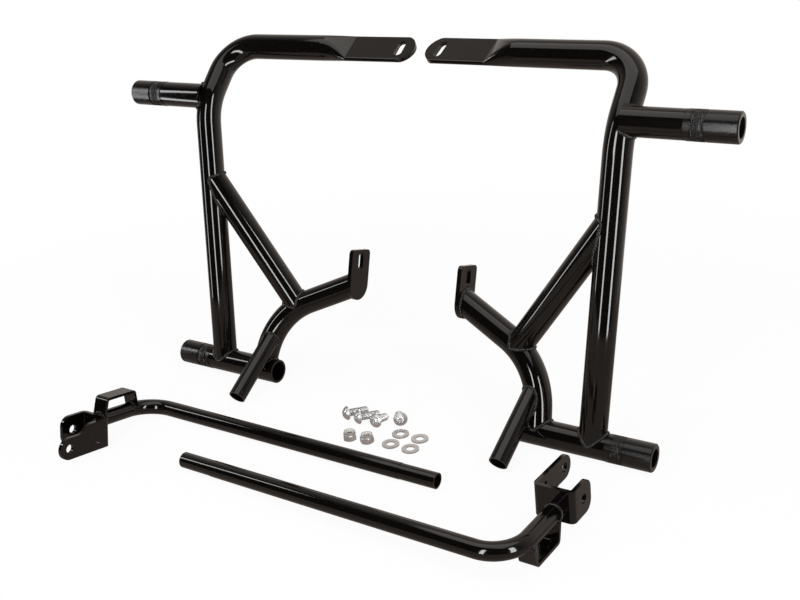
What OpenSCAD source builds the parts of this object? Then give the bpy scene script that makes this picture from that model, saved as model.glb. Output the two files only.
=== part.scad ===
// Motorcycle crash bars: a mirror-image pair of welded tube bars, two stay rods and their fasteners.
// The set is laid out on a table at z = 0. Each bar stands on its lower sleeve and its strut socket.

/* [Bar tube] */
// Outside diameter of the bar tubes
tube_d = 31.75; // [29:0.25:34]
// Wall of the bar tubes
tube_wall = 3; // [2:0.25:3.5]

/* [Hoop] */
// Distance of the leg's foot from the middle plane
foot_x = 271; // [262:1:272]
// Distance of the upright's bends from the middle plane
hoop_x = 281.5; // [275:0.5:292]
// Height of the knee bend's corner over the lower tube
knee_z = 350; // [340:1:360]
// Height of the top run over the lower tube
top_z = 423; // [415:1:435]
// Setback of the crown bend's corner behind the leg
top_y = 53; // [46:1:60]
// Sweep of the top run to the back, in degrees
top_sweep = 4.2; // [0:0.2:6]
// Centreline radius of the knee bend
knee_r = 78; // [60:1:85]
// Centreline radius of the crown bend
crown_r = 44; // [38:1:48]

/* [Crushed tab] */
// Distance of the tab's tip from the middle plane
tab_tip_x = 9; // [5:1:20]
// Length of the flat tab, from its tip to the crush line
tab_len = 89; // [75:1:100]
// Length of the flare from the crush line to the round tube
flare_len = 38; // [30:1:50]
// Width of the tab
tab_w = 43.5; // [40:0.5:46]
// Tilt of the tab's width from level, rising to the back
tab_tilt = 38; // [20:1:45]
// Length of the slot, which runs across the tab
tab_slot_len = 26; // [20:1:30]
// Width of the tab's slot
tab_slot_w = 10; // [8:0.5:12]
// Distance of the slot's centreline from the tab's tip
tab_slot_in = 19.5; // [15:0.5:25]

/* [Pegs and sleeves] */
// Height of the upper peg over the lower tube
peg_z = 361; // [350:1:366]
// Distance of the upper peg tube's end from the middle plane
peg_end_x = 350.5; // [335:0.5:365]
// Distance of the lower tube's open end from the middle plane
lower_open_x = 178.5; // [165:0.5:182]
// Distance of the lower tube's sleeve end from the middle plane
lower_end_x = 289.5; // [288.5:0.5:300]
// Outside diameter of the turned sleeves
sleeve_d = 32.4; // [31.5:0.1:34]
// Bore of the turned sleeves
sleeve_bore = 21.2; // [18:0.1:22]
// Length of the sleeve's plain barrel
barrel_len = 32; // [25:1:40]
// Length of the knurled band
knurl_len = 12.5; // [8:0.5:18]
// Length of the plain ring beside the knurled band
ring_len = 5; // [3:0.5:8]
// Width of the grooves between the bands
groove_w = 1.5; // [1:0.1:2.5]
// Depth of the grooves
groove_deep = 0.8; // [0.4:0.1:1.5]
// Chamfer on the sleeve's mouth
mouth_chamfer = 1.2; // [0.5:0.1:2]
// Length of the spigot that enters the tube
spigot_len = 14; // [8:1:20]

/* [Brace] */
// Height on the leg at which the brace's axis starts
brace_z = 256.5; // [240:0.5:275]
// Place round the flange tube's bend where the brace lands, in degrees
brace_turn = 46.5; // [42:0.5:50]

/* [Flange] */
// Distance of the flange tube's foot from the middle plane
flange_foot_x = 204; // [200:1:215]
// Corner of the flange tube's bend, distance from the middle plane
flange_bend_x = 194; // [188:1:198]
// Corner of the flange tube's bend, setback behind the lower tube
flange_bend_y = 22.2; // [18:0.2:26]
// Corner of the flange tube's bend, height over the lower tube
flange_bend_z = 74.5; // [72:0.5:80]
// Centreline radius of the flange tube's bend
flange_r = 97; // [88:1:100]
// Distance of the plate's tube side from the middle plane
plate_x = 82; // [76:0.5:88]
// Setback of the tube's end on the plate
plate_y = 46.7; // [42:0.1:50]
// Height of the tube's end on the plate
plate_z = 125; // [120:0.5:130]
// Thickness of the flange plate
plate_t = 5.5; // [4:0.5:8]
// Width of the flange plate
plate_w = 40; // [38:1:46]
// Height of the plate over the tube's centre
plate_up = 46; // [42:1:56]
// Radius of the plate's upper corners
plate_corner_r = 6; // [3:0.5:10]
// Lean of the plate's top to the back
plate_lean = 9; // [0:1:15]
// Width of the plate's slot
plate_slot_w = 10.5; // [8:0.5:12]
// Length of the plate's slot
plate_slot_len = 22; // [16:1:26]
// Height of the slot's middle over the tube's centre
plate_slot_up = 31; // [30:1:34]

/* [Strut socket] */
// Outside diameter of the socket
socket_d = 22.2; // [21.5:0.1:24]
// Bore of the socket
socket_bore = 18.7; // [18:0.1:19]
// Length of the socket from the flange tube's axis to its mouth
socket_len = 110.7; // [100:0.1:120]
// Rise of the socket towards the flange tube, in degrees
socket_tilt = 37.2; // [34:0.2:40]
// Turn of the socket's mouth towards the middle plane, in degrees
socket_toe = 1.6; // [0:0.2:4]
// Place round the flange tube's bend where the socket lands, in degrees
socket_turn = 17; // [14:0.5:20]

/* [Stay rod] */
// Outside diameter of the stay rod's tube
strut_d = 19.05; // [18.8:0.05:21]
// Wall of the stay rod's tube
strut_wall = 2; // [1:0.1:2.4]
// Length from the bend's corner to the plain end
strut_long = 433; // [400:1:460]
// Length from the bend's corner to the clevis
strut_short = 87.8; // [85:0.2:95]
// Centreline radius of the bend
strut_r = 37; // [32:1:38]
// Length of the reduced end that enters the socket
strut_plug_len = 47; // [30:1:60]
// Clearance round the reduced end in the socket
plug_clear = 0.2; // [0.1:0.05:0.3]

/* [Clevis] */
// Thickness of the bracket's plate
clevis_t = 4.5; // [3:0.5:6]
// Width over the two ears
clevis_w = 45; // [40:1:52]
// Height of the web
web_h = 36; // [33:0.5:40]
// Height of the web over the stay rod's axis, on the loop's side
web_over = 8.5; // [6:0.5:10]
// Radius round the folds of the plate
fold_r = 6; // [6:0.5:8]
// Distance of the long ear's hole from the web's back
long_hole_out = 61.6; // [56:0.2:70]
// Height of the long ear's neck, which is its round tip's width too
neck_h = 26.8; // [24:0.2:29]
// Distance from the web's back at which the long ear starts to narrow
neck_start = 29; // [26:0.5:32]
// Distance from the web's back at which the long ear has narrowed
neck_end = 47; // [42:0.5:50]
// Reach of the short ear
short_ear = 38; // [36:1:44]
// Radius of the short ear's corners
short_ear_r = 12; // [8:0.5:13]
// Bolt hole in the ears
ear_hole_d = 10.5; // [8:0.1:12]
// Distance of the short ear's hole from the web's back
short_hole_out = 22; // [20:0.5:26]
// Height of the short ear's hole over the web's edge
short_hole_up = 18; // [15:0.5:20]
// Small locating hole in the long ear
locating_hole_d = 6; // [4:0.5:7]
// Distance of the locating hole from the web's back
locating_hole_out = 19.5; // [17:0.5:22]
// Height of the locating hole over the web's edge
locating_hole_up = 10; // [9:0.5:14]

/* [Loop] */
// Width of the loop's strap
loop_w = 20; // [14:1:24]
// Thickness of the loop's strap
loop_t = 3.5; // [2.5:0.5:4.5]
// Height of the loop's flat top over the stay rod's axis
loop_h = 28; // [24:1:34]
// Length of the loop's flat top inside
loop_len = 42; // [36:1:44]
// Radius inside the loop's bends
loop_r = 2; // [1:0.5:4]
// Height over the stay rod's axis at which the loop's feet end
loop_foot_z = 5.7; // [4:0.1:7]
// Splay of the loop's feet, in degrees
loop_splay = 12; // [6:1:14]
// Distance of the loop's middle from the bend's corner
loop_mid = 56.5; // [54:0.5:57]

/* [Fasteners] */
// Shank diameter of the bolts
bolt_d = 9.525; // [8:0.025:10]
// Shank length of the two long bolts
long_shank = 28; // [24:1:32]
// Shank length of the two short bolts
short_shank = 21; // [18:1:24]
// Diameter of the button heads
head_d = 17.5; // [15:0.1:18]
// Height of the button heads
head_h = 5.3; // [4:0.1:6]
// Width across the flats of the hexagon socket
hex_socket = 5.56; // [4:0.02:6]
// Depth of the hexagon socket
hex_deep = 3; // [2:0.1:3.5]
// Width across the flats of the nuts
nut_flats = 15; // [14:0.1:17]
// Height of the nuts
nut_h = 10.5; // [9:0.1:12]
// Diameter of the nuts' round collar
collar_d = 13.8; // [13:0.1:14]
// Height of the nuts' round collar
collar_h = 3.2; // [2.6:0.1:4]
// Outside diameter of the nylon rings
insert_d = 12; // [11:0.1:12.5]
// Thickness of the nylon rings
insert_t = 2.2; // [1.5:0.1:2.5]
// Outside diameter of the washers
washer_d = 20.8; // [18:0.1:22]
// Hole of the washers
washer_hole = 10.4; // [9.6:0.1:11]
// Thickness of the washers
washer_t = 1.8; // [1.2:0.1:2.5]

/* [Hidden] */
$fn = 64;

// Gap between two tubes before they are welded
fit_gap = 0.15;
// Overrun of a cut past the face it opens
over = 1;
// Clearance of a sleeve's spigot in its tube
spigot_clear = 0.2;
// Thickness that the press takes off the tab's two walls
press_loss = 0.5;
// Share of the flare's length that stays hollow
flare_hollow = 0.8;
// Chamfer at a bolt's tip
bolt_chamfer = 0.8;
// Height that the flat round the socket takes off a head's dome
dome_trim = 0.53;
// How far a nylon ring stands inside the bolt's diameter
insert_grip = 0.3;
// Straights run on into a bend or flare by this much, and that is drawn thinner by the skim, so
// that the two overlap and make one clean solid
lap = 0.1;
skim = 0.02;

// Axis points and sections of one bar, upright, with the lower tube's axis on the X axis
tube_r = tube_d / 2;
tube_bore = tube_d - 2 * tube_wall;
foot = [foot_x, 0, 0];
knee = [hoop_x, 0, knee_z];
crown = [hoop_x, top_y, top_z];
top_run = [-cos(top_sweep), sin(top_sweep), 0];
tab_tip = crown + top_run * (hoop_x - tab_tip_x) / cos(top_sweep);
flare_start = tab_tip - top_run * (tab_len + flare_len);
hoop_axis = [foot, knee, crown, flare_start + top_run * lap];
hoop_radii = [knee_r, crown_r];
brace_top = foot + (knee - foot) * brace_z / knee_z;
peg_start = hoop_x + tube_r / 4;
flange_foot = [flange_foot_x, 0, 0];
flange_corner = [flange_bend_x, flange_bend_y, flange_bend_z];
flange_end = [plate_x, plate_y, plate_z];
flange_past = flange_end + unit(flange_end - flange_corner) * tube_d;
flange_axis = [flange_foot, flange_corner, flange_past];
brace_foot = bend_point(flange_foot, flange_corner, flange_end, flange_r, brace_turn);

// Tab, which is the tube's two walls pressed together
tab_t = 2 * tube_wall - press_loss;
flare_steps = 8;
ring_sides = 32;

// Sleeve
sleeve_len = barrel_len + knurl_len + ring_len + 3 * groove_w;
spigot_d = tube_bore - 2 * spigot_clear;

// Strut socket and the lean that makes a bar rest on its sleeve and on the socket's rim
socket_seat = bend_point(flange_foot, flange_corner, flange_end, flange_r, socket_turn);
socket_run = [sin(socket_toe), cos(socket_toe) * cos(socket_tilt), cos(socket_toe) * sin(socket_tilt)];
socket_mouth = socket_seat - socket_run * socket_len;
rim_y = socket_mouth.y + socket_d / 2 * sin(socket_tilt);
rim_z = socket_mouth.z - socket_d / 2 * cos(socket_tilt);
bar_lean = atan2(-rim_z, -rim_y) - asin(sleeve_d / 2 / norm([rim_y, rim_z]));

// Stay rod, with its corner at the origin, its long part along X and its short part along -Y
plug_d = socket_bore - 2 * plug_clear;
strut_bore = strut_d - 2 * strut_wall;
web_under = web_h - web_over;
long_hole_up = neck_h / 2;

// Dome of the button heads
dome_h = head_h + dome_trim;
dome_r = (pow(head_d / 2, 2) + pow(dome_h, 2)) / (2 * dome_h);

// Layout on the table, before the set's middle is put over the origin
set_y = 78.38;
left_strut_at = [-286, -136];
left_strut_yaw = 0.2;
left_strut_roll = acos(strut_d / 2 / norm([strut_short, web_under])) - atan2(strut_short, web_under);
right_strut_at = [290.5, -247.6];
right_strut_yaw = -3.2;
right_strut_pitch = atan2(loop_h - plug_d / 2, strut_long - loop_w / 2);
right_strut_lift = loop_h * cos(right_strut_pitch) + loop_w / 2 * sin(right_strut_pitch);
bolt_at = [[-33.5, -46.5, 62], [-14.5, -49, 61], [9.5, -47.5, 86], [35, -31, 129]];
bolt_shank = [long_shank, long_shank, short_shank, short_shank];
nut_at = [[-3, -86, 8], [19.7, -82.7, 22]];
washer_at = [[47, -51], [74, -51], [49, -76.5], [76, -76]];

// Bends: a and c are the points before and after corner b, r is the centreline radius
function unit(v) = v / norm(v);
function bend_angle(a, b, c) = acos(unit(b - a) * unit(c - b));
function bend_cut(a, b, c, r) = r * tan(bend_angle(a, b, c) / 2);
function bend_inward(a, b, c) = unit(unit(c - b) - unit(b - a) * (unit(b - a) * unit(c - b)));
function bend_start(a, b, c, r) = b - unit(b - a) * bend_cut(a, b, c, r);
function bend_end(a, b, c, r) = b + unit(c - b) * bend_cut(a, b, c, r);
function bend_centre(a, b, c, r) = bend_start(a, b, c, r) + bend_inward(a, b, c) * r;
function bend_point(a, b, c, r, turn) =
    bend_centre(a, b, c, r) + r * (unit(b - a) * sin(turn) - bend_inward(a, b, c) * cos(turn));

// Section of a pressed tube: half width a, half thickness b, round when they are equal
function stadium(a, b) = [
    for (i = [0 : ring_sides - 1])
        let (t = (i + 0.5) * 360 / ring_sides)
        [sign(cos(t)) * (a - b) + b * cos(t), b * sin(t)]
];

// Straight rod from one point to another
module rod(from, to, d) {
    run = to - from;
    translate(from)
        rotate([0, acos(run.z / norm(run)), atan2(run.y, run.x)])
            cylinder(d = d, h = norm(run));
}

// Stretch of rod round one bend
module rod_bend(a, b, c, r, d) {
    out = -bend_inward(a, b, c);
    along = unit(b - a);
    up = cross(out, along);
    translate(bend_centre(a, b, c, r))
        rotate([atan2(along.z, up.z), -asin(out.z), atan2(out.y, out.x)])
            rotate_extrude(angle = bend_angle(a, b, c))
                translate([r, 0])
                    circle(d = d);
}

// Rod that follows a list of points, with a bend at each inner one
module bent_rod(p, r, d) {
    last = len(p) - 1;
    for (i = [0 : last - 1]) {
        run = unit(p[i + 1] - p[i]) * lap;
        from = i == 0 ? p[0] : bend_end(p[i - 1], p[i], p[i + 1], r[i - 1]) - run;
        to = i == last - 1 ? p[last] : bend_start(p[i], p[i + 1], p[i + 2], r[i]) + run;
        rod(from, to, d);
    }
    for (i = [1 : last - 1])
        rod_bend(p[i - 1], p[i], p[i + 1], r[i - 1], d - skim);
}

// Flare from round to flat along Z, inset by a wall for the hollow inside
module flare(inset, length) {
    rings = [
        for (k = [0 : flare_steps])
            let (round_share = cos(90 * k / flare_steps * length / flare_len))
            let (half_t = tab_t / 2 + (tube_r - tab_t / 2) * round_share - skim)
            let (half_w = tab_w / 2 + (tube_r - tab_w / 2) * round_share - skim)
            for (q = stadium(half_w - inset, half_t - inset))
                [q.x, q.y, k / flare_steps * length]
    ];
    n = ring_sides;
    sides = [
        for (k = [0 : flare_steps - 1], i = [0 : n - 1])
            let (j = (i + 1) % n)
            for (f = [[(k + 1) * n + i, (k + 1) * n + j, k * n + j], [(k + 1) * n + i, k * n + j, k * n + i]])
                f
    ];
    near_cap = [for (i = [0 : n - 1]) i];
    far_cap = [for (i = [n - 1 : -1 : 0]) flare_steps * n + i];
    polyhedron(points = rings, faces = concat(sides, [near_cap, far_cap]));
}

// Frame at the start of the flare: Z to the tab's tip, X across the tab, Y through it
module at_flare() {
    translate(flare_start)
        rotate([0, 0, -top_sweep])
            rotate([-90, -tab_tilt, 90])
                children();
}

// Flat of the tab, with its rolled edges, its trimmed round tip and its slot
module tab() {
    end_z = flare_len + tab_len;
    difference() {
        intersection() {
            translate([0, 0, flare_len - lap])
                linear_extrude(tab_len + lap)
                    tab_section();
            rotate([90, 0, 0])
                translate([0, 0, -tab_t])
                    linear_extrude(2 * tab_t)
                        tab_outline(end_z);
        }
        rotate([90, 0, 0])
            translate([0, end_z - tab_slot_in, -tab_t])
                linear_extrude(2 * tab_t)
                    slot(tab_slot_len, tab_slot_w);
    }
}

module tab_section() {
    edge_x = tab_w / 2 - tab_t / 2;
    square([2 * edge_x, tab_t], center = true);
    translate([edge_x, 0])
        circle(d = tab_t);
    translate([-edge_x, 0])
        circle(d = tab_t);
}

module tab_outline(end_z) {
    translate([0, end_z - tab_w / 2])
        circle(d = tab_w);
    translate([-tab_w / 2, 0])
        square([tab_w, end_z - tab_w / 2]);
}

// Slot with round ends along X
module slot(length, width) {
    square([length - width, width], center = true);
    translate([(length - width) / 2, 0])
        circle(d = width);
    translate([(width - length) / 2, 0])
        circle(d = width);
}

// Pieces of one bar

module hoop_tube() {
    color("#17171a")
        difference() {
            union() {
                bent_rod(hoop_axis, hoop_radii, tube_d);
                at_flare() flare(0, flare_len);
                at_flare() tab();
            }
            bent_rod(hoop_axis, hoop_radii, tube_bore);
            at_flare() flare(tube_wall, flare_len * flare_hollow);
            lower_rod(tube_d + 2 * fit_gap);
        }
}

module lower_rod(d) {
    rod([lower_open_x - over, 0, 0], [lower_end_x + over, 0, 0], d);
}

module lower_tube() {
    color("#17171a")
        difference() {
            rod([lower_open_x, 0, 0], [lower_end_x, 0, 0], tube_d);
            lower_rod(tube_bore);
        }
}

module upper_peg_tube() {
    color("#17171a")
        difference() {
            rod([peg_start, 0, peg_z], [peg_end_x, 0, peg_z], tube_d);
            rod([peg_start - over, 0, peg_z], [peg_end_x + over, 0, peg_z], tube_bore);
            bent_rod(hoop_axis, hoop_radii, tube_d + 2 * fit_gap);
        }
}

// Turned sleeve along Z from the tube's end, as one profile revolved
module sleeve() {
    bottom = sleeve_d / 2 - groove_deep;
    rim = sleeve_d / 2;
    ring_z = groove_w;
    knurl_z = ring_z + ring_len + groove_w;
    barrel_z = knurl_z + knurl_len + groove_w;
    color("#1d1d1f")
        rotate_extrude()
            polygon([
                [sleeve_bore / 2, -spigot_len],
                [spigot_d / 2, -spigot_len],
                [spigot_d / 2, 0],
                [bottom, 0],
                [bottom, ring_z],
                [rim, ring_z],
                [rim, ring_z + ring_len],
                [bottom, ring_z + ring_len],
                [bottom, knurl_z],
                [rim, knurl_z],
                [rim, knurl_z + knurl_len],
                [bottom, knurl_z + knurl_len],
                [bottom, barrel_z],
                [rim, barrel_z],
                [rim, sleeve_len - mouth_chamfer],
                [rim - mouth_chamfer, sleeve_len],
                [sleeve_bore / 2 + mouth_chamfer / 2, sleeve_len],
                [sleeve_bore / 2, sleeve_len - mouth_chamfer / 2]
            ]);
}

module upper_peg_sleeve() {
    translate([peg_end_x, 0, peg_z])
        rotate([0, 90, 0])
            sleeve();
}

module lower_sleeve() {
    translate([lower_end_x, 0, 0])
        rotate([0, 90, 0])
            sleeve();
}

module brace_tube() {
    color("#17171a")
        difference() {
            rod(brace_top, brace_foot, tube_d);
            rod(brace_top, brace_foot, tube_bore);
            bent_rod(hoop_axis, hoop_radii, tube_d + 2 * fit_gap);
            flange_rod(tube_d + 2 * fit_gap);
        }
}

module flange_rod(d) {
    bent_rod(flange_axis, [flange_r], d);
}

module flange_tube() {
    reach = 3 * tube_d;
    color("#17171a")
        difference() {
            flange_rod(tube_d);
            flange_rod(tube_bore);
            lower_rod(tube_d + 2 * fit_gap);
            translate([plate_x - reach, plate_y - reach / 2, plate_z - reach / 2])
                cube(reach);
        }
}

// Plate in the plane of X = 0, with its half-round foot round the tube's end
module flange_plate() {
    shoulder = plate_w / 2 - plate_corner_r;
    color("#17171a")
        translate([plate_x - plate_t, plate_y, plate_z])
            rotate([90 - plate_lean, 0, 0])
                rotate([0, 90, 0])
                    linear_extrude(plate_t)
                        difference() {
                            union() {
                                circle(d = plate_w);
                                translate([-plate_w / 2, 0])
                                    square([plate_w, plate_up - plate_corner_r]);
                                translate([-shoulder, 0])
                                    square([2 * shoulder, plate_up]);
                                translate([shoulder, plate_up - plate_corner_r])
                                    circle(r = plate_corner_r);
                                translate([-shoulder, plate_up - plate_corner_r])
                                    circle(r = plate_corner_r);
                            }
                            translate([0, plate_slot_up])
                                rotate(90)
                                    slot(plate_slot_len, plate_slot_w);
                        }
}

module strut_socket() {
    color("#17171a")
        difference() {
            rod(socket_mouth, socket_seat, socket_d);
            rod(socket_mouth - socket_run * over, socket_seat, socket_bore);
            flange_rod(tube_d + 2 * fit_gap);
        }
}

// Pieces of one stay rod

module strut_axis_rod(d) {
    bent_rod([[strut_long - strut_plug_len, 0, 0], [0, 0, 0], [0, -strut_short, 0]], [strut_r], d);
}

module strut_tube() {
    shoulder = strut_long - strut_plug_len;
    color("#17171a")
        difference() {
            union() {
                strut_axis_rod(strut_d);
                rod([shoulder - lap, 0, 0], [strut_long, 0, 0], plug_d);
            }
            strut_axis_rod(strut_bore);
            rod([shoulder - lap, 0, 0], [strut_long + over, 0, 0], strut_bore);
        }
}

// Outline of a folded channel: half width, fold radius, and how far its back stands in
module channel(half, r, back, depth) {
    translate([-half, back + r])
        square([2 * half, depth - back - r]);
    translate([-half + r, back])
        square([2 * (half - r), r + over]);
    translate([half - r, back + r])
        circle(r = r);
    translate([-half + r, back + r])
        circle(r = r);
}

// Ear outlines: X away from the stay rod, Y up from the web's edge
module long_ear() {
    difference() {
        union() {
            polygon([
                [0, 0],
                [long_hole_out, 0],
                [long_hole_out, neck_h],
                for (t = [0 : 30 : 180])
                    [
                        neck_end + (neck_start - neck_end) * t / 180,
                        neck_h + (web_h - neck_h) * (1 - cos(t)) / 2
                    ],
                [0, web_h]
            ]);
            translate([long_hole_out, long_hole_up])
                circle(d = neck_h);
        }
        translate([long_hole_out, long_hole_up])
            circle(d = ear_hole_d);
        translate([locating_hole_out, locating_hole_up])
            circle(d = locating_hole_d);
    }
}

module short_ear_outline() {
    in = short_ear - short_ear_r;
    difference() {
        union() {
            square([in, web_h]);
            translate([0, short_ear_r])
                square([short_ear, web_h - 2 * short_ear_r]);
            translate([in, short_ear_r])
                circle(r = short_ear_r);
            translate([in, web_h - short_ear_r])
                circle(r = short_ear_r);
        }
        translate([short_hole_out, short_hole_up])
            circle(d = ear_hole_d);
    }
}

module clevis() {
    reach = long_hole_out + neck_h;
    color("#17171a")
        translate([0, -strut_short, -web_under])
            intersection() {
                linear_extrude(web_h)
                    rotate(180)
                        difference() {
                            channel(clevis_w / 2, fold_r, 0, reach);
                            channel(clevis_w / 2 - clevis_t, fold_r - clevis_t, clevis_t, reach + over);
                        }
                union() {
                    rotate([90, 0, -90])
                        translate([0, 0, -clevis_w / 2])
                            linear_extrude(clevis_w / 2)
                                long_ear();
                    rotate([90, 0, -90])
                        linear_extrude(clevis_w / 2)
                            short_ear_outline();
                }
            }
}

// Filled outline of the loop, with corner radius r and its feet cut off at the bottom
module loop_outline(r, bottom) {
    corner = [loop_len / 2 - loop_r, loop_h - loop_t - loop_r];
    side = corner + (r - skim) * [cos(loop_splay), sin(loop_splay)];
    foot_y = side.x + (side.y - bottom) * tan(loop_splay);
    translate(corner)
        circle(r = r);
    translate([-corner.x, corner.y])
        circle(r = r);
    polygon([
        [-corner.x, corner.y + r],
        [corner.x, corner.y + r],
        side,
        [foot_y, bottom],
        [-foot_y, bottom],
        [-side.x, side.y]
    ]);
}

// Strap with a flat top and two splayed feet, which are coped to stand on the tube
module strut_loop() {
    color("#17171a")
        difference() {
            translate([-loop_w / 2, -loop_mid, 0])
                rotate([90, 0, 90])
                    linear_extrude(loop_w)
                        difference() {
                            loop_outline(loop_r + loop_t, loop_foot_z);
                            loop_outline(loop_r, loop_foot_z - over);
                        }
            strut_axis_rod(strut_d + 2 * fit_gap);
        }
}

// Fasteners, each upright over the table at the origin

module bolt(shank) {
    color("#b9bbbd") {
        difference() {
            intersection() {
                translate([0, 0, dome_r - dome_h])
                    sphere(r = dome_r);
                translate([0, 0, -head_h])
                    cylinder(d = head_d, h = head_h);
            }
            translate([0, 0, -head_h - over])
                cylinder(d = hex_socket / cos(30), h = hex_deep + over, $fn = 6);
        }
        cylinder(d = bolt_d, h = shank - bolt_chamfer);
        translate([0, 0, shank - bolt_chamfer])
            cylinder(d1 = bolt_d, d2 = bolt_d - 2 * bolt_chamfer, h = bolt_chamfer);
    }
}

// Nut body: a hexagon with a turned corner bevel and a round collar for the nylon ring
module nut() {
    hex_h = nut_h - collar_h;
    corner_r = nut_flats / 2 / cos(30);
    bevel_h = (corner_r - nut_flats / 2) * tan(30);
    color("#b4b6b9")
        difference() {
            union() {
                intersection() {
                    cylinder(r = corner_r, h = hex_h, $fn = 6);
                    rotate_extrude()
                        polygon([
                            [0, 0],
                            [nut_flats / 2, 0],
                            [corner_r, bevel_h],
                            [corner_r, hex_h - bevel_h],
                            [nut_flats / 2, hex_h],
                            [0, hex_h]
                        ]);
                }
                translate([0, 0, hex_h])
                    cylinder(d = collar_d, h = collar_h);
            }
            translate([0, 0, -over])
                cylinder(d = bolt_d, h = nut_h + 2 * over);
            translate([0, 0, hex_h])
                cylinder(d = insert_d, h = collar_h + over);
        }
}

module nut_insert() {
    color("#e8e6de")
        translate([0, 0, nut_h - collar_h])
            difference() {
                cylinder(d = insert_d, h = insert_t);
                translate([0, 0, -over])
                    cylinder(d = bolt_d - 2 * insert_grip, h = collar_h + 2 * over);
            }
}

module washer() {
    color("#b4b6b9")
        difference() {
            cylinder(d = washer_d, h = washer_t);
            translate([0, 0, -over])
                cylinder(d = washer_hole, h = washer_t + 2 * over);
        }
}

// Places on the table

module on_right() {
    translate([0, set_y, sleeve_d / 2])
        rotate([-bar_lean, 0, 0])
            children();
}

module on_left() {
    mirror([1, 0, 0])
        on_right()
            children();
}

module as_left_strut() {
    translate([left_strut_at.x, left_strut_at.y + set_y, strut_d / 2])
        rotate([-left_strut_roll, 0, left_strut_yaw])
            children();
}

// The mirror image of the left stay rod, turned over, so that it rests on its loop and its plain end
module as_right_strut() {
    translate([right_strut_at.x, right_strut_at.y + set_y, right_strut_lift])
        rotate([0, -right_strut_pitch, right_strut_yaw])
            rotate([180, 0, 0])
                mirror([1, 0, 0])
                    children();
}

// A lying bolt touches the table with its head's rim and with its tip
module as_bolt(i) {
    reach = bolt_shank[i] - bolt_chamfer;
    dip = atan2((head_d - bolt_d) / 2, reach);
    translate([bolt_at[i].x, bolt_at[i].y + set_y, head_d / 2 * cos(dip)])
        rotate([0, 90 + dip, bolt_at[i].z])
            bolt(bolt_shank[i]);
}

module as_nut(i) {
    translate([nut_at[i].x, nut_at[i].y + set_y, 0])
        rotate([0, 0, nut_at[i].z])
            children();
}

module as_washer(i) {
    translate([washer_at[i].x, washer_at[i].y + set_y, 0])
        washer();
}

module hoop_tube_left() { on_left() hoop_tube(); }
module hoop_tube_right() { on_right() hoop_tube(); }
module upper_peg_tube_left() { on_left() upper_peg_tube(); }
module upper_peg_tube_right() { on_right() upper_peg_tube(); }
module upper_peg_sleeve_left() { on_left() upper_peg_sleeve(); }
module upper_peg_sleeve_right() { on_right() upper_peg_sleeve(); }
module lower_tube_left() { on_left() lower_tube(); }
module lower_tube_right() { on_right() lower_tube(); }
module lower_sleeve_left() { on_left() lower_sleeve(); }
module lower_sleeve_right() { on_right() lower_sleeve(); }
module brace_tube_left() { on_left() brace_tube(); }
module brace_tube_right() { on_right() brace_tube(); }
module flange_tube_left() { on_left() flange_tube(); }
module flange_tube_right() { on_right() flange_tube(); }
module flange_plate_left() { on_left() flange_plate(); }
module flange_plate_right() { on_right() flange_plate(); }
module strut_socket_left() { on_left() strut_socket(); }
module strut_socket_right() { on_right() strut_socket(); }
module strut_tube_left() { as_left_strut() strut_tube(); }
module strut_tube_right() { as_right_strut() strut_tube(); }
module clevis_left() { as_left_strut() clevis(); }
module clevis_right() { as_right_strut() clevis(); }
module strut_loop_left() { as_left_strut() strut_loop(); }
module strut_loop_right() { as_right_strut() strut_loop(); }
module bolt_1() { as_bolt(0); }
module bolt_2() { as_bolt(1); }
module bolt_3() { as_bolt(2); }
module bolt_4() { as_bolt(3); }
module nut_1() { as_nut(0) nut(); }
module nut_2() { as_nut(1) nut(); }
module nut_insert_1() { as_nut(0) nut_insert(); }
module nut_insert_2() { as_nut(1) nut_insert(); }
module washer_1() { as_washer(0); }
module washer_2() { as_washer(1); }
module washer_3() { as_washer(2); }
module washer_4() { as_washer(3); }

hoop_tube_left();
hoop_tube_right();
upper_peg_tube_left();
upper_peg_tube_right();
upper_peg_sleeve_left();
upper_peg_sleeve_right();
lower_tube_left();
lower_tube_right();
lower_sleeve_left();
lower_sleeve_right();
brace_tube_left();
brace_tube_right();
flange_tube_left();
flange_tube_right();
flange_plate_left();
flange_plate_right();
strut_socket_left();
strut_socket_right();
strut_tube_left();
strut_tube_right();
clevis_left();
clevis_right();
strut_loop_left();
strut_loop_right();
bolt_1();
bolt_2();
bolt_3();
bolt_4();
nut_1();
nut_2();
nut_insert_1();
nut_insert_2();
washer_1();
washer_2();
washer_3();
washer_4();
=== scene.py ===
# %% [markdown]
# # Motorcycle crash bars in Blender
# Crash bars are bent steel tubes that keep a motorcycle's engine off the road when it falls over.
# The CAD model gives two welded bars, two stay rods and their fasteners as exact solids. This
# script dresses them: it adds weld beads, knurled sleeves, threads, paint and studio light. Every
# size is in metres, in the same frame as the CAD, so nothing has to be fitted.

# %% Load the frame
import math

import bmesh
import bpy
import numpy as np
from mathutils import Matrix, Vector
from mathutils.bvhtree import BVHTree


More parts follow.
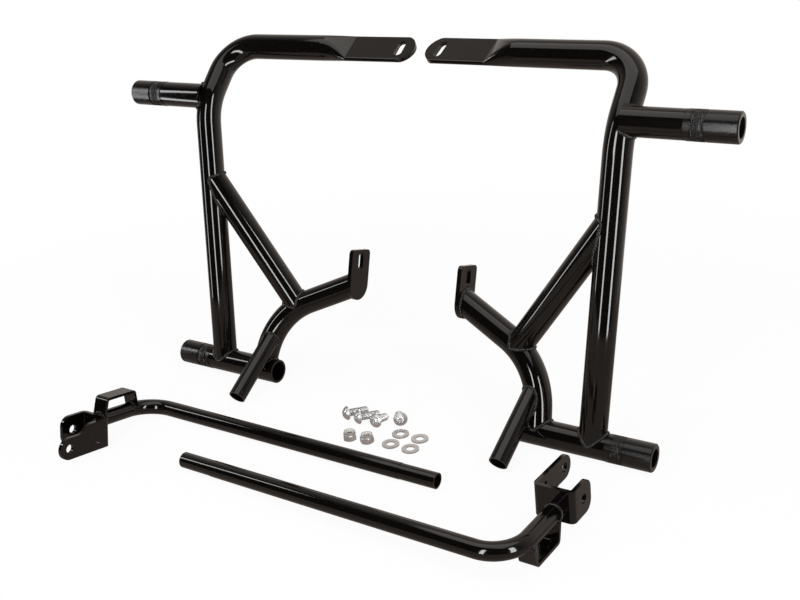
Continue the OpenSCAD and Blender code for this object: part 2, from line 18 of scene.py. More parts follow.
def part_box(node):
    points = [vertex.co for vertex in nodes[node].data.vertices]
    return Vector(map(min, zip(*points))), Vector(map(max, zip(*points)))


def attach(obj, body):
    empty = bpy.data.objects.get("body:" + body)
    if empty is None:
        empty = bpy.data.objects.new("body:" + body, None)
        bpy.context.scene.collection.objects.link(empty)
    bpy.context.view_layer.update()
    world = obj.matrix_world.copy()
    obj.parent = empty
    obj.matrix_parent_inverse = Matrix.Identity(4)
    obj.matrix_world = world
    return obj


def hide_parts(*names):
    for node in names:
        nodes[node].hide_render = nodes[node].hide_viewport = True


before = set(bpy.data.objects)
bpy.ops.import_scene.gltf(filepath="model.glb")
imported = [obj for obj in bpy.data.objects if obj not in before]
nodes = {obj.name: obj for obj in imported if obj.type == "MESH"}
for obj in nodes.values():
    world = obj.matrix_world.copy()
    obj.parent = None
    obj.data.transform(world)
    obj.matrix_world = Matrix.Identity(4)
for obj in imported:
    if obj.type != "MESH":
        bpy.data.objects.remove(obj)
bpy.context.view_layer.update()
scene = bpy.context.scene
MM = 0.001
print("nodes:", len(nodes))

# %% [markdown]
# ## Camera
# The camera stands where the photograph was taken. Its place, aim and lens were found by fitting
# the mirrored pair of bars to the photograph. A camera looks along its own negative Z, so its
# three axes, right, up and back, are the columns of its matrix.

# %% Camera
sensor_wide = 36
focal_length = 46.12
nearest_seen = 0.01
camera_place = Vector((0.65426, -0.87290, 0.60904))
camera_right = Vector((0.8467, 0.5281, -0.0648))
camera_up = Vector((-0.1461, 0.3479, 0.9261))
camera_back = camera_right.cross(camera_up)
camera_data = bpy.data.cameras.new("camera")
camera_data.sensor_fit = "HORIZONTAL"
camera_data.sensor_width = sensor_wide
camera_data.lens = focal_length
camera_data.clip_start = nearest_seen
camera = bpy.data.objects.new("camera", camera_data)
turn = Matrix((camera_right, camera_up, camera_back)).transposed().to_4x4()
camera.matrix_world = Matrix.Translation(camera_place) @ turn
scene.collection.objects.link(camera)
scene.camera = camera
print("camera pitch:", round(math.degrees(math.asin(camera_back.z)), 1), "degrees down")

# %% [markdown]
# ## Node helpers
# A material is a small graph. One helper adds a node and sets its values, and one opens a new
# material, so that each finish below reads as a list of what it does.


# %% Node helpers
def add_node(tree, kind, **settings):
    """Adds a shader or geometry node. A setting names a property, and "inputs" its sockets."""
    made = tree.nodes.new(kind)
    inputs = settings.pop("inputs", {})
    for key, value in settings.items():
        setattr(made, key, value)
    for key, value in inputs.items():
        made.inputs[key].default_value = value
    return made


def new_material(name):
    """A material, its graph and the Principled BSDF that the graph starts with."""
    material = bpy.data.materials.new(name)
    material.use_nodes = True
    tree = material.node_tree
    return material, tree, tree.nodes["Principled BSDF"]


# %% [markdown]
# ## A shared surface group
# Paint, plastic and metal all vary a little over their surface. A picture could carry that, but
# noise on the object's own coordinates has no seams. One group makes the variation for every
# finish: a slow mottling that shades colour and roughness, and a fine grain that drives the bump.


# %% Shared surface group
def surface_group():
    """The variation of a surface, with its scales and its bump as named inputs."""
    group = bpy.data.node_groups.new("surface_variation", "ShaderNodeTree")
    face = group.interface
    for label, usual in (("Mottle Scale", 12.0), ("Grain Scale", 900.0), ("Bump", 0.1)):
        socket = face.new_socket(label, in_out="INPUT", socket_type="NodeSocketFloat")
        socket.default_value = usual
    face.new_socket("Mottle", in_out="OUTPUT", socket_type="NodeSocketFloat")
    face.new_socket("Normal", in_out="OUTPUT", socket_type="NodeSocketVector")
    come = group.nodes.new("NodeGroupInput")
    go = group.nodes.new("NodeGroupOutput")
    place = group.nodes.new("ShaderNodeTexCoord")
    mottle = add_node(group, "ShaderNodeTexNoise", inputs={"Detail": 4.0, "Roughness": 0.6})
    grain = add_node(group, "ShaderNodeTexNoise", inputs={"Detail": 2.0})
    bump = add_node(group, "ShaderNodeBump", inputs={"Distance": 0.0002})
    link = group.links.new
    link(place.outputs["Object"], mottle.inputs["Vector"])
    link(place.outputs["Object"], grain.inputs["Vector"])
    link(come.outputs["Mottle Scale"], mottle.inputs["Scale"])
    link(come.outputs["Grain Scale"], grain.inputs["Scale"])
    link(come.outputs["Bump"], bump.inputs["Strength"])
    link(grain.outputs["Fac"], bump.inputs["Height"])
    link(mottle.outputs["Fac"], go.inputs["Mottle"])
    link(bump.outputs["Normal"], go.inputs["Normal"])
    return group


variation = surface_group()
print("group sockets:", [item.name for item in variation.interface.items_tree])

# %% [markdown]
# ## A finish
# Every finish on the set is one colour that drifts a little. So one function makes them all: it
# takes a dark and a light tone and a range of roughness, and the mottling mixes both.


# %% A finish
def finish(name, dark, light, rough, metallic, mottle, grain, bump):
    """A material whose colour and roughness drift between two ends over the surface."""
    material, tree, shader = new_material(name)
    vary = add_node(tree, "ShaderNodeGroup", node_tree=variation)
    vary.inputs["Mottle Scale"].default_value = mottle
    vary.inputs["Grain Scale"].default_value = grain
    vary.inputs["Bump"].default_value = bump
    # A Mix node has sockets for each kind of value. For colours they are 6 and 7, and output 2.
    tone = add_node(tree, "ShaderNodeMix", data_type="RGBA", inputs={6: (*dark, 1), 7: (*light, 1)})
    # Noise seldom leaves 0.3 to 0.7, which is stretched here over the whole range of roughness.
    polish = add_node(tree, "ShaderNodeMapRange", inputs={
        "From Min": 0.3, "From Max": 0.7, "To Min": rough[0], "To Max": rough[1]})
    link = tree.links.new
    link(vary.outputs["Mottle"], tone.inputs[0])
    link(vary.outputs["Mottle"], polish.inputs["Value"])
    link(tone.outputs[2], shader.inputs["Base Color"])
    link(polish.outputs["Result"], shader.inputs["Roughness"])
    link(vary.outputs["Normal"], shader.inputs["Normal"])
    shader.inputs["Metallic"].default_value = metallic
    return material


# %% [markdown]
# ## The five finishes
# The tubes and plates have gloss black paint, which lies a little rougher over the welds. The
# sleeves are satin black. The bolts, nuts and washers are zinc plated, and the lock nuts have a
# pale nylon ring. The blacks are a touch warm, as in the photograph.

# %% The five finishes
gloss_black = finish("gloss_black_paint", (0.0012, 0.001, 0.001), (0.003, 0.0024, 0.0021),
                     rough=(0.05, 0.09), metallic=0.0, mottle=9, grain=260, bump=0.012)
weld_black = finish("weld_black_paint", (0.002, 0.0017, 0.0015), (0.005, 0.004, 0.0035),
                    rough=(0.08, 0.16), metallic=0.0, mottle=40, grain=500, bump=0.1)
satin_black = finish("satin_black_sleeve", (0.001, 0.001, 0.001), (0.003, 0.0028, 0.0027),
                     rough=(0.18, 0.26), metallic=0.0, mottle=30, grain=1500, bump=0.08)
zinc = finish("zinc_plated_steel", (0.62, 0.63, 0.64), (0.84, 0.85, 0.86),
              rough=(0.36, 0.5), metallic=1.0, mottle=90, grain=1800, bump=0.2)
nylon = finish("nylon_insert", (0.62, 0.61, 0.57), (0.76, 0.75, 0.70),
               rough=(0.42, 0.55), metallic=0.0, mottle=120, grain=1500, bump=0.15)
print("materials:", len(bpy.data.materials))

# %% [markdown]
# ## Dress the CAD nodes
# Tubes, plates, washers and nuts are already the right shape, so a node keeps its CAD mesh. Only
# its material changes, chosen by what its name says it is.


# %% Dress the CAD nodes
def material_for(name):
    """Nylon for the rings of the lock nuts, zinc for the fasteners and paint for the rest."""
    if name.startswith("nut_insert"):
        return nylon
    if name.startswith(("bolt", "nut", "washer")):
        return zinc
    return gloss_black


for name, item in nodes.items():
    item.data.materials.clear()
    item.data.materials.append(material_for(name))
print("dressed:", len(nodes))

# %% [markdown]
# ## Meshes from rings
# Sleeves and bolts are turned pieces. A turned piece could be a profile with a Screw modifier, but
# knurls, threads and sockets aren't round. So it is a stack of rings: each ring is a row of points
# round the axis with a radius of its own at every angle, and each pair of rows is bridged by
# faces. A list of rings that comes back to its start makes a closed wall.


# %% Meshes from rings
def ring_mesh(name, rows, closed=False, cap=False):
    """Bridges rows of radii round the Z axis. A row is a height and its radii."""
    heights = np.asarray([height for height, radii in rows], float)
    radii = np.asarray([radii for height, radii in rows], float)
    count, around = radii.shape
    angle = np.arange(around) * 2 * math.pi / around
    x = radii * np.cos(angle)
    y = radii * np.sin(angle)
    z = np.repeat(heights[:, None], around, axis=1)
    points = np.stack([x, y, z], axis=-1).reshape(-1, 3)
    faces = []
    bridges = count if closed else count - 1
    for i in range(bridges):
        below = i * around
        above = (i + 1) % count * around
        for j in range(around):
            k = (j + 1) % around
            faces.append((below + j, below + k, above + k, above + j))
    if cap:
        faces.append(tuple(range(around))[::-1])
        faces.append(tuple((count - 1) * around + j for j in range(around)))
    mesh = bpy.data.meshes.new(name)
    mesh.from_pydata(points.tolist(), [], faces)
    return mesh


# %% Place a turned piece
def place_piece(name, mesh, matrix, material, smooth_to):
    """Moves a mesh to its place, turns its faces outwards and lets it ride on the body."""
    mesh.transform(matrix)
    shell = bmesh.new()
    shell.from_mesh(mesh)
    bmesh.ops.recalc_face_normals(shell, faces=shell.faces)
    shell.to_mesh(mesh)
    shell.free()
    mesh.shade_smooth()
    mesh.set_sharp_from_angle(angle=math.radians(smooth_to))
    mesh.materials.append(material)
    piece = bpy.data.objects.new(name, mesh)
    scene.collection.objects.link(piece)
    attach(piece, "root")
    return piece


# %% [markdown]
# ## Knurled sleeves
# Each peg ends in a turned steel sleeve with a knurled band: two wheels press crossing helical
# grooves into the metal, and what stands between them is rows of small pyramids. A bump texture
# could fake them, but the mesh itself would stay smooth. Here each ring of the band takes its
# radii from the two helices. The grooves go inwards, so the sleeve stays inside the CAD's size.

# %% Sleeve sizes
barrel_len = 32 * MM
knurl_len = 12.5 * MM
ring_len = 5 * MM
groove_wide = 1.5 * MM
groove_deep = 0.8 * MM
mouth_chamfer = 1.2 * MM
sleeve_radius = 16.2 * MM
bore_radius = 10.6 * MM
spigot_radius = 12.675 * MM
spigot_len = 14 * MM
knurl_deep = 0.35 * MM
knurl_teeth = 64
knurl_slope = 1.5  # above 1, the pyramids are flat on top
samples_per_tooth = 5
sleeve_smooth_to = 24
sleeve_len = barrel_len + knurl_len + ring_len + 3 * groove_wide
print("sleeve:", round(sleeve_len / MM, 1), "mm long")


# %% Rings of a sleeve
def triangle_wave(value):
    """0 in the middle of a groove, and 1 halfway between two grooves."""
    return 1 - np.abs(2 * (value % 1) - 1)


def sleeve_rows():
    """Rows from the spigot's inner end, over the outside and out to the mouth of the bore."""
    around = knurl_teeth * samples_per_tooth
    angle = np.arange(around) / around
    low = sleeve_radius - groove_deep
    first = groove_wide + ring_len
    knurl_z = first + groove_wide
    barrel_z = knurl_z + knurl_len + groove_wide
    spots = [(-spigot_len, bore_radius), (-spigot_len, spigot_radius), (0, spigot_radius),
             (0, low), (groove_wide, low), (groove_wide, sleeve_radius),
             (first, sleeve_radius), (first, low), (knurl_z, low)]
    rows = [(z, np.full(around, r)) for z, r in spots]
    tooth = 2 * math.pi * sleeve_radius / knurl_teeth
    steps = int(knurl_len / tooth * samples_per_tooth)
    for z in np.linspace(0, knurl_len, steps):
        one = triangle_wave(knurl_teeth * angle + z / tooth)
        two = triangle_wave(knurl_teeth * angle - z / tooth)
        height = np.clip(knurl_slope * np.minimum(one, two), 0, 1)
        rows.append((knurl_z + z, sleeve_radius - knurl_deep * (1 - height)))
    spots = [(knurl_z + knurl_len, low), (barrel_z, low), (barrel_z, sleeve_radius),
             (sleeve_len - mouth_chamfer, sleeve_radius),
             (sleeve_len, sleeve_radius - mouth_chamfer),
             (sleeve_len, bore_radius + mouth_chamfer / 2),
             (sleeve_len - mouth_chamfer / 2, bore_radius)]
    rows += [(z, np.full(around, r)) for z, r in spots]
    return rows


print("rings of a sleeve:", len(sleeve_rows()))


# %% Knurled sleeves
def knurled_sleeve(node):
    """A knurled sleeve in the place of the CAD one, with its mouth to the outside."""
    low, high = (Vector(corner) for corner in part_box(node))
    side = 1 if low.x + high.x > 0 else -1
    mouth_x = high.x if side > 0 else low.x
    middle = (low + high) / 2
    mesh = ring_mesh(node + "_knurled", sleeve_rows(), closed=True)
    turn_out = Matrix.Rotation(side * math.pi / 2, 4, "Y")
    start = Vector((mouth_x - side * sleeve_len, middle.y, middle.z))
    piece = place_piece(node + "_knurled", mesh, Matrix.Translation(start) @ turn_out,
                        satin_black, sleeve_smooth_to)
    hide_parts(node)
    return piece


sleeves = [knurled_sleeve(name) for name in nodes if "sleeve" in name]
print("sleeves:", len(sleeves), "faces each:", len(sleeves[0].data.polygons))

# %% [markdown]
# ## Bolts
# The bolts are button head screws with a rolled thread and a hexagon socket, which the CAD leaves
# plain. A thread could be a swept helix that is joined to a rod, but that takes a boolean. Here a
# bolt is one stack of rings: the tip, the thread, the underside of the head, the dome and the
# socket. The thread's groove depends on the angle as well as the height, so it winds by itself.

# %% Bolt sizes
set_shift_y = 78.38 * MM  # the CAD moves the whole set this far along Y
bolt_radius = 4.7625 * MM
bolt_chamfer = 0.8 * MM
head_radius = 8.75 * MM
head_high = 5.3 * MM
dome_trim = 0.53 * MM
dome_rings = 9
socket_flat = 2.78 * MM
socket_deep = 3 * MM
socket_rim = 0.99  # of the last dome ring's radius, which the socket's corners stay within
thread_pitch = 1.5875 * MM
thread_deep = 0.75 * MM
thread_slope = 1.15  # above 1, the roots of the thread are flat
thread_end = 0.6 * thread_pitch
rings_per_turn = 8
bolt_around = 48
bolt_smooth_to = 30
long_shank = 28 * MM
short_shank = 21 * MM
print("turns of thread:", round((long_shank - thread_end) / thread_pitch, 1))


# %% Rings of a bolt
def hexagon(count, flat_to_centre):
    """Radius of a hexagon at each of the angles round it."""
    angle = np.arange(count) * 2 * math.pi / count
    folded = (angle + math.pi / 6) % (math.pi / 3) - math.pi / 6
    return flat_to_centre / np.cos(folded)


def bolt_rows(shank):
    """Rows from the tip, at the shank's length, to the bottom of the socket."""
    turn_share = np.arange(bolt_around) / bolt_around
    rows = [(shank, np.full(bolt_around, bolt_radius - bolt_chamfer))]
    for z in np.arange(shank - bolt_chamfer, thread_end, -thread_pitch / rings_per_turn):
        cut = triangle_wave(z / thread_pitch + turn_share)
        rows.append((z, bolt_radius - thread_deep * np.clip(thread_slope * cut, 0, 1)))
    rows.append((0, np.full(bolt_around, bolt_radius)))
    rows.append((0, np.full(bolt_around, head_radius)))
    dome_high = head_high + dome_trim
    dome = (head_radius ** 2 + dome_high ** 2) / (2 * dome_high)
    for z in np.linspace(0.1, 1, dome_rings) * head_high:
        reach = dome - dome_high + z
        rows.append((-z, np.full(bolt_around, math.sqrt(dome ** 2 - reach ** 2))))
    flat = hexagon(bolt_around, socket_flat)
    rows.append((-head_high, np.minimum(flat, rows[-1][1] * socket_rim)))
    rows.append((-head_high + socket_deep, flat))
    return rows


print("rings of a long bolt:", len(bolt_rows(long_shank)))

# %% [markdown]
# ## Where the bolts lie
# A loose bolt rests on the rim of its head and on its tip, so it dips by a small angle that
# follows from its sizes. Each place gives x and y in millimetres in the set's own frame, the
# heading of the shank in degrees, and the length of the shank.

# %% Bolts
bolt_places = [(-33.5, -46.5, 62, long_shank), (-14.5, -49, 61, long_shank),
               (9.5, -47.5, 86, short_shank), (35, -31, 129, short_shank)]


def dressed_bolt(node, x, y, heading, shank):
    """A threaded bolt in the place of the CAD one."""
    mesh = ring_mesh(node + "_threaded", bolt_rows(shank), cap=True)
    dip = math.atan2(head_radius - bolt_radius, shank - bolt_chamfer)
    place = Vector((x * MM, y * MM + set_shift_y, head_radius * math.cos(dip)))
    lie_down = Matrix.Rotation(math.pi / 2 + dip, 4, "Y")
    lay = Matrix.Rotation(math.radians(heading), 4, "Z") @ lie_down
    piece = place_piece(node + "_threaded", mesh, Matrix.Translation(place) @ lay,
                        zinc, bolt_smooth_to)
    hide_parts(node)
    return piece


bolts = [dressed_bolt("bolt_%d" % (i + 1), *spot) for i, spot in enumerate(bolt_places)]
print("bolts:", len(bolts), "faces:", [len(b.data.polygons) for b in bolts])

# %% [markdown]
# ## Weld paths
# A weld lies where the end of one tube meets the wall of the next. Its path could be worked out
# from the two cylinders, but the CAD mesh already has that line: it is the sharp edge of the coped
# end, which lies on the neighbour's surface. The script finds those edges and groups the ones that
# join. The longest group is the weld, and a shorter one is the edge of the tube's bore.

# %% Weld sizes
merge_gap = 0.002 * MM
weld_reach = 0.6 * MM
sharp_from = 18
print("an edge is on the neighbour within", round(weld_reach / MM, 1), "mm")


# %% Weld paths
def solid_of(node):
    """A copy of a node's mesh with its split points merged."""
    shell = bmesh.new()
    shell.from_mesh(nodes[node].data)
    bmesh.ops.remove_doubles(shell, verts=shell.verts, dist=merge_gap)
    return shell


def edge_runs(shell, tree):
    """Groups of joined sharp edges that lie on the neighbour, the longest first."""
    near = {point: tree.find_nearest(point.co, weld_reach)[0] is not None
            for point in shell.verts}
    sharp = [e for e in shell.edges
             if near[e.verts[0]] and near[e.verts[1]] and len(e.link_faces) == 2
             and e.calc_face_angle() > math.radians(sharp_from)]
    joined = {}
    for edge in sharp:
        for point in edge.verts:
            joined.setdefault(point, []).append(edge)
    runs = []
    free = set(sharp)
    # Edges are taken in the mesh's order, because a set's order changes from one run of Blender to
    # the next, and the beads with it.
    for first in sharp:
        if first not in free:
            continue
        free.remove(first)
        run = [first]
        for edge in run:  # the list grows while it is walked
            for other in (e for point in edge.verts for e in joined[point]):
                if other in free:
                    free.remove(other)
                    run.append(other)
        runs.append(run)
    return sorted(runs, key=lambda run: -sum(e.calc_length() for e in run))


def run_mesh(name, run):
    """A mesh of loose edges, which geometry nodes read as a curve."""
    points = list(dict.fromkeys(p for e in run for p in e.verts))
    place = {p: i for i, p in enumerate(points)}
    edges = [(place[e.verts[0]], place[e.verts[1]]) for e in run]
    mesh = bpy.data.meshes.new(name)
    mesh.from_pydata([p.co[:] for p in points], edges, [])
    return mesh


# %% [markdown]
# ## Weld beads in geometry nodes
# A welder's bead is a row of drops that froze one on the other. A bead could be a swept round, but
# that looks like a cord. This graph turns the edges into a curve, sets a flattened drop every
# step along it and makes the drops real. Its inputs are the drop's radius, the step, a seed that
# varies the drops a little, and the paint.

# %% Bead inputs
first_seed = 3
bead = bpy.data.node_groups.new("weld_bead", "GeometryNodeTree")
for label, kind, usual in (("Geometry", "Geometry", None), ("Radius", "Float", 2.2 * MM),
                           ("Step", "Float", 1.3 * MM), ("Seed", "Int", first_seed),
                           ("Material", "Material", None)):
    socket = bead.interface.new_socket(label, in_out="INPUT", socket_type="NodeSocket" + kind)
    if usual is not None:
        socket.default_value = usual
bead_inputs = {item.name: item.identifier for item in bead.interface.items_tree}
bead.interface.new_socket("Geometry", in_out="OUTPUT", socket_type="NodeSocketGeometry")
come = bead.nodes.new("NodeGroupInput")
go = bead.nodes.new("NodeGroupOutput")
link = bead.links.new
print("bead inputs:", sorted(bead_inputs))

# %% One drop
drop_least = 0.86
drop_most = 1.12
drop_flatness = 0.55
drop = add_node(bead, "GeometryNodeMeshIcoSphere", inputs={"Subdivisions": 2})
# A Random Value node has sockets for each kind of value. For floats they are 2 and 3, and output 1.
spread = add_node(bead, "FunctionNodeRandomValue", data_type="FLOAT",
                  inputs={2: drop_least, 3: drop_most})
size = add_node(bead, "ShaderNodeMath", operation="MULTIPLY")
flat = add_node(bead, "ShaderNodeMath", operation="MULTIPLY", inputs={1: drop_flatness})
shape = bead.nodes.new("ShaderNodeCombineXYZ")
link(come.outputs["Seed"], spread.inputs["Seed"])
link(come.outputs["Radius"], size.inputs[0])
link(spread.outputs[1], size.inputs[1])
link(size.outputs[0], flat.inputs[0])
link(size.outputs[0], shape.inputs["X"])
link(size.outputs[0], shape.inputs["Y"])
link(flat.outputs[0], shape.inputs["Z"])
print("a drop is", drop_least, "to", drop_most, "times the radius")

# %% Drops along the path
curve = bead.nodes.new("GeometryNodeMeshToCurve")
even = add_node(bead, "GeometryNodeResampleCurve", mode="LENGTH")
along = bead.nodes.new("GeometryNodeInputTangent")
aim = add_node(bead, "FunctionNodeAlignRotationToVector", axis="Z")
put = bead.nodes.new("GeometryNodeInstanceOnPoints")
real = bead.nodes.new("GeometryNodeRealizeInstances")
smooth = bead.nodes.new("GeometryNodeSetShadeSmooth")
paint = bead.nodes.new("GeometryNodeSetMaterial")
link(come.outputs["Geometry"], curve.inputs["Mesh"])
link(curve.outputs["Curve"], even.inputs["Curve"])
link(come.outputs["Step"], even.inputs["Length"])
link(even.outputs["Curve"], put.inputs["Points"])
link(drop.outputs["Mesh"], put.inputs["Instance"])
link(along.outputs["Tangent"], aim.inputs["Vector"])
link(aim.outputs["Rotation"], put.inputs["Rotation"])
link(shape.outputs["Vector"], put.inputs["Scale"])
link(put.outputs["Instances"], real.inputs["Geometry"])
link(real.outputs["Geometry"], smooth.inputs["Geometry"])
link(smooth.outputs["Geometry"], paint.inputs["Geometry"])
link(come.outputs["Material"], paint.inputs["Material"])
link(paint.outputs["Geometry"], go.inputs["Geometry"])
print("nodes in the bead graph:", len(bead.nodes))

# %% [markdown]
# ## Run the beads
# Each weld names the piece whose end is coped, the piece it lands on, how many of its groups of
# edges are welds, and the bead's radius in millimetres. A stay rod's loop stands on two feet, so
# it has two. Every bead gets a plain mesh of its own, because the export drops instances.

# %% One weld
step_share = 0.6  # of the radius, so that neighbouring drops overlap


def weld(end_node, wall_node, runs, radius):
    """The beads of one joint, as finished pieces."""
    shell = solid_of(end_node)
    wall = solid_of(wall_node)
    found = edge_runs(shell, BVHTree.FromBMesh(wall))[:runs]
    made = []
    for number, run in enumerate(found):
        name = "weld_%s_%s_%d" % (end_node, wall_node.split("_")[0], number)
        path = bpy.data.objects.new(name + "_path", run_mesh(name, run))
        scene.collection.objects.link(path)
        step = path.modifiers.new("bead", "NODES")
        step.node_group = bead
        step[bead_inputs["Radius"]] = radius
        step[bead_inputs["Step"]] = radius * step_share
        step[bead_inputs["Seed"]] = first_seed + number
        step[bead_inputs["Material"]] = weld_black
        seen = path.evaluated_get(bpy.context.evaluated_depsgraph_get())
        mesh = bpy.data.meshes.new_from_object(seen)
        mesh.name = name
        bpy.data.objects.remove(path)
        piece = bpy.data.objects.new(name, mesh)
        scene.collection.objects.link(piece)
        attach(piece, "root")
        made.append(piece)
    shell.free()
    wall.free()
    return made


# %% Run the beads
joints = [("hoop_tube", "lower_tube", 1, 2.3), ("upper_peg_tube", "hoop_tube", 1, 2.3),
          ("brace_tube", "hoop_tube", 1, 2.2), ("brace_tube", "flange_tube", 1, 2.2),
          ("flange_tube", "lower_tube", 1, 2.2), ("flange_tube", "flange_plate", 1, 1.9),
          ("strut_socket", "flange_tube", 1, 1.9), ("strut_tube", "clevis", 1, 1.6),
          ("strut_loop", "strut_tube", 2, 1.2)]
welds = []
for side in ("left", "right"):
    for end_name, wall_name, runs, radius in joints:
        welds += weld("%s_%s" % (end_name, side), "%s_%s" % (wall_name, side), runs, radius * MM)
print("welds:", len(welds), "faces:", sum(len(w.data.polygons) for w in welds))

# %% [markdown]
# ## Table
# The photograph's ground is pure white with hardly a shadow. More light would burn out the zinc,
# so the floor glows instead: white to the camera, and a little less close to the set, where the
# rest is plain shading that keeps the shadow. Reflections see the floor as a dim warm tone, which
# leaves gloss paint black. Past the table's edge they see no floor, and lamps shine through it,
# so that tall softboxes reach below the table.

# %% Floor
floor_reach = 6.0
corner_signs = ((-1, -1), (1, -1), (1, 1), (-1, 1))
floor_corners = [(x * floor_reach, y * floor_reach, 0) for x, y in corner_signs]
floor_mesh = bpy.data.meshes.new("floor")
floor_mesh.from_pydata(floor_corners, [], [(0, 1, 2, 3)])
floor = bpy.data.objects.new("floor", floor_mesh)
scene.collection.objects.link(floor)
print("floor:", floor_reach * 2, "m wide")


# %% Rays and mixes
def mirror_rays(tree, rays):
    """1 for a ray that comes from a reflection or through glass, and 0 for any other."""
    either = add_node(tree, "ShaderNodeMath", operation="MAXIMUM")
    tree.links.new(rays.outputs["Is Glossy Ray"], either.inputs[0])
    tree.links.new(rays.outputs["Is Transmission Ray"], either.inputs[1])
    return either.outputs[0]


def mix_shaders(tree, share, first, second):
    """The first shader where the share is 0, and the second where it is 1."""
    mix = tree.nodes.new("ShaderNodeMixShader")
    tree.links.new(share, mix.inputs[0])
    tree.links.new(first, mix.inputs[1])
    tree.links.new(second, mix.inputs[2])
    return mix.outputs[0]


# %% Floor glow
glow_near, glow_far = 0.93, 1.0
fade_from, fade_to = 0.5, 1.3
mirror_tone = (0.34, 0.28, 0.245, 1)
floor_paint, tree, shader = new_material("floor_white")
shader.inputs["Base Color"].default_value = (0.9, 0.9, 0.9, 1)
shader.inputs["Roughness"].default_value = 0.9
shader.inputs["Specular IOR Level"].default_value = 0.0
link = tree.links.new
rays = tree.nodes.new("ShaderNodeLightPath")
where = tree.nodes.new("ShaderNodeTexCoord")
away = add_node(tree, "ShaderNodeVectorMath", operation="LENGTH")
fade = add_node(tree, "ShaderNodeMapRange", interpolation_type="SMOOTHSTEP", inputs={
    "From Min": fade_from, "From Max": fade_to, "To Min": glow_near, "To Max": glow_far})
camera_share = add_node(tree, "ShaderNodeMath", operation="MULTIPLY")
glow = add_node(tree, "ShaderNodeEmission", inputs={"Color": (1, 1, 1, 1), "Strength": 1.0})
mirror_glow = add_node(tree, "ShaderNodeEmission", inputs={"Color": mirror_tone, "Strength": 1.0})
link(where.outputs["Object"], away.inputs[0])
link(away.outputs["Value"], fade.inputs["Value"])
link(rays.outputs["Is Camera Ray"], camera_share.inputs[0])
link(fade.outputs["Result"], camera_share.inputs[1])
mirrored = mirror_rays(tree, rays)
to_camera = mix_shaders(tree, camera_share.outputs[0], shader.outputs[0], glow.outputs[0])
on_table = mix_shaders(tree, mirrored, to_camera, mirror_glow.outputs[0])
print("floor glow:", glow_near, "near the set,", glow_far, "from", fade_to, "m on")

# %% Table edge
table_reach = 0.75
table_edge = add_node(tree, "ShaderNodeMath", operation="GREATER_THAN", inputs={1: table_reach})
light_rays = add_node(tree, "ShaderNodeMath", operation="MAXIMUM")
past_edge = add_node(tree, "ShaderNodeMath", operation="MULTIPLY")
clear = tree.nodes.new("ShaderNodeBsdfTransparent")
link(away.outputs["Value"], table_edge.inputs[0])
link(mirrored, light_rays.inputs[0])
link(rays.outputs["Is Shadow Ray"], light_rays.inputs[1])
link(table_edge.outputs[0], past_edge.inputs[0])
link(light_rays.outputs[0], past_edge.inputs[1])
whole_floor = mix_shaders(tree, past_edge.outputs[0], on_table, clear.outputs[0])
link(whole_floor, tree.nodes["Material Output"].inputs["Surface"])
floor_mesh.materials.append(floor_paint)
print("table edge:", table_reach, "m from the middle")

# %% [markdown]
# ## World
# The camera sees a pure white room. Matt surfaces get an even, weak fill from it. Reflections see
# a room that is white behind the set and nearly black on the camera's side: gloss tubes then show
# a pale rim at the top and stay black towards the viewer, as in the photograph.

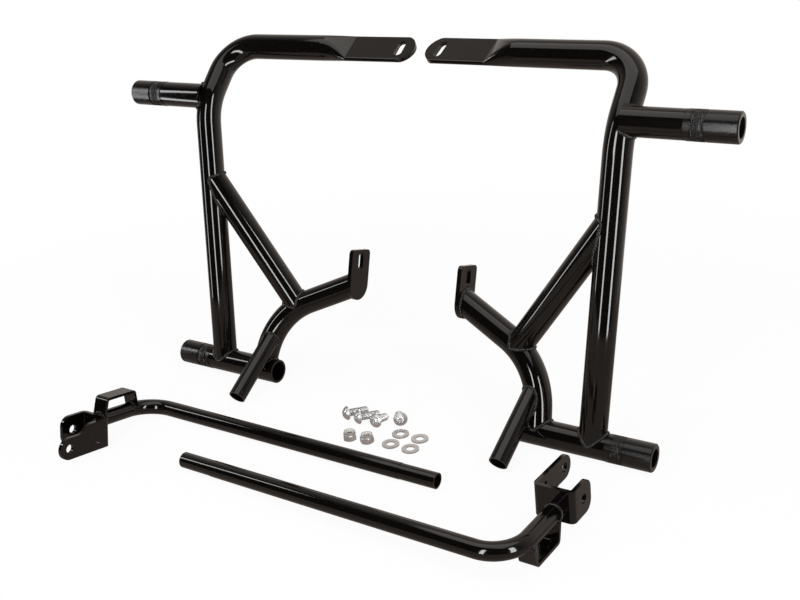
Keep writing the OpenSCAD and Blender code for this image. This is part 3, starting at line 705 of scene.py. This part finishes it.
# %% World
fill_strength = 0.4
ramp_ends = ((0.35, (0.008, 0.007, 0.0065, 1)), (0.95, (0.8, 0.72, 0.66, 1)))
world = bpy.data.worlds.new("studio")
world.use_nodes = True
scene.world = world
tree = world.node_tree
tree.nodes.clear()
link = tree.links.new
out = tree.nodes.new("ShaderNodeOutputWorld")
rays = tree.nodes.new("ShaderNodeLightPath")
white = {"Color": (1, 1, 1, 1)}
seen = add_node(tree, "ShaderNodeBackground", inputs={**white, "Strength": 1.0})
plain = add_node(tree, "ShaderNodeBackground", inputs={**white, "Strength": fill_strength})
room = add_node(tree, "ShaderNodeBackground", inputs={"Strength": 1.0})
place = tree.nodes.new("ShaderNodeTexCoord")
split = tree.nodes.new("ShaderNodeSeparateXYZ")
ramp = tree.nodes.new("ShaderNodeValToRGB")
for element, (position, colour) in zip(ramp.color_ramp.elements, ramp_ends):
    element.position = position
    element.color = colour
# The Y of a direction runs from -1 to 1, and halving it and adding a half makes that 0 to 1.
shift = add_node(tree, "ShaderNodeMath", operation="MULTIPLY_ADD", inputs={1: 0.5, 2: 0.5})
link(place.outputs["Generated"], split.inputs[0])
link(split.outputs["Y"], shift.inputs[0])
link(shift.outputs[0], ramp.inputs[0])
link(ramp.outputs["Color"], room.inputs["Color"])
in_room = mix_shaders(tree, mirror_rays(tree, rays), plain.outputs[0], room.outputs[0])
whole_world = mix_shaders(tree, rays.outputs["Is Camera Ray"], in_room, seen.outputs[0])
link(whole_world, out.inputs["Surface"])
scene.view_settings.view_transform = "Standard"
print("world:", world.name)

# %% [markdown]
# ## Softboxes
# A gloss tube is drawn by what it mirrors. The photograph's tubes show long thin streaks, so the
# lamps are tall narrow boxes on both sides of the camera. A wide, weak one overhead lights the
# tops of the tubes and the zinc.


# %% Softboxes
def softbox(name, place, aim, wide, high, watts, tint=(1, 1, 1)):
    """A rectangular lamp that faces its aim."""
    lamp = bpy.data.lights.new(name, "AREA")
    lamp.shape = "RECTANGLE"
    lamp.size = wide
    lamp.size_y = high
    lamp.energy = watts
    lamp.color = tint
    item = bpy.data.objects.new(name, lamp)
    item.location = place
    item.rotation_euler = (Vector(aim) - Vector(place)).to_track_quat("-Z", "Y").to_euler()
    scene.collection.objects.link(item)
    return item


middle = (0, 0, 0.2)
softbox("key_left", (0.08, -2.1, 0.2), middle, wide=0.36, high=3.2, watts=46)
softbox("key_right", (1.75, -0.8, 0.2), middle, wide=0.36, high=3.2, watts=46)
softbox("side", (-1.6, -0.9, 0.2), middle, wide=0.2, high=3.0, watts=15)
softbox("overhead", (0, -0.2, 2.1), (0, 0, 0), wide=2.4, high=1.6, watts=15, tint=(1, 0.95, 0.91))
